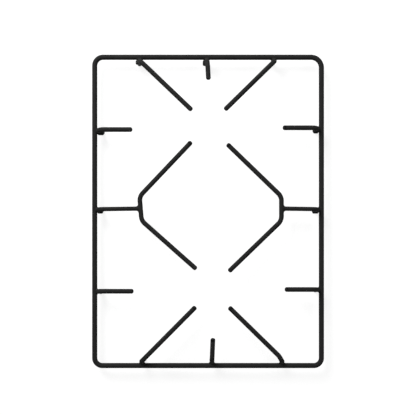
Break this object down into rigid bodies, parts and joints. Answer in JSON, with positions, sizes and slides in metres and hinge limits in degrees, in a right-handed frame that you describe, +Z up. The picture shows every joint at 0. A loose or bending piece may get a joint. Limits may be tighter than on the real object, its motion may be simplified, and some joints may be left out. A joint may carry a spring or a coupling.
{
  "type": "hob pan support",
  "caption": "Welded round-rod pan support for a gas hob: a rectangular ring on short legs carries level fingers and forked arms that point at the burners.",
  "frame": {"origin": "under the middle of the ring, on the plane that the feet stand on", "axes": "+X to the right and +Y to the rear of the hob, along the ring's long side; +Z up"},
  "size_m": [0.29, 0.392, 0.028],
  "materials": {
    "black_enamel": "satin black vitreous enamel over mild steel rod"
  },
  "bodies": {
    "root": {"frame_ring": "black_enamel", "rear_left_long_finger": "black_enamel", "rear_right_long_finger": "black_enamel", "front_left_long_finger": "black_enamel", "front_right_long_finger": "black_enamel", "rear_middle_finger": "black_enamel", "front_middle_finger": "black_enamel", "left_rear_side_finger": "black_enamel", "left_front_side_finger": "black_enamel", "right_rear_side_finger": "black_enamel", "right_front_side_finger": "black_enamel", "left_stem": "black_enamel", "right_stem": "black_enamel", "left_fork": "black_enamel", "right_fork": "black_enamel", "leg_welds": "black_enamel", "fork_welds": "black_enamel"}
  },
  "joints": []
}
